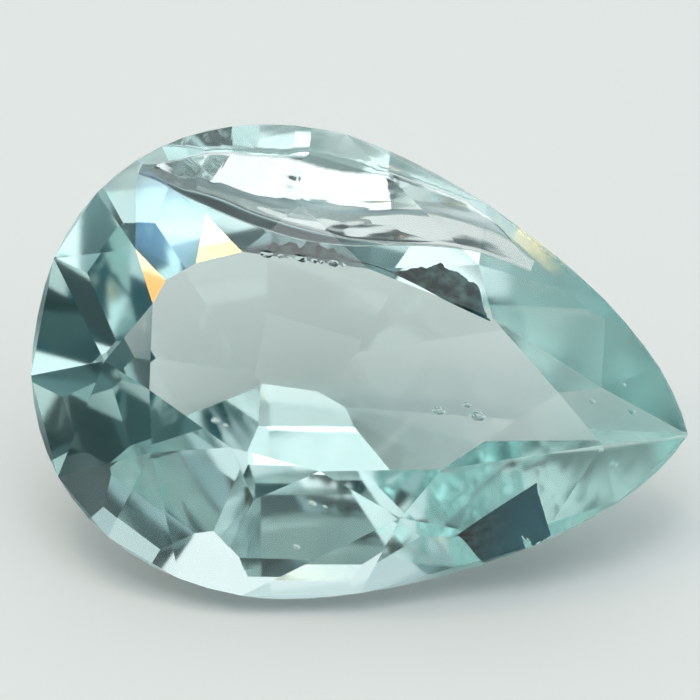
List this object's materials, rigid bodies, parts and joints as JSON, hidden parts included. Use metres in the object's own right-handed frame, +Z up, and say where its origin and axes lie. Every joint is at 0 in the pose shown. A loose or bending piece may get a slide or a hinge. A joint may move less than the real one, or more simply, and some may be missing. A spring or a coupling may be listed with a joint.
{
  "type": "cut aquamarine gemstone",
  "caption": "Loose pear-shaped faceted aquamarine with a large flat table and a step-cut pavilion, lying on one pavilion facet with the table tilted up.",
  "frame": {"origin": "bottom centre of the bounding box, on the plane of the pavilion facet that the stone lies on", "axes": "+Z up with the stone at rest, +X along the stone towards its pointed tip, -Y towards the side that the table faces"},
  "size_m": [0.009, 0.005, 0.0046],
  "materials": {
    "aquamarine": "polished"
  },
  "bodies": {
    "root": {"aquamarine": "aquamarine"}
  },
  "joints": []
}
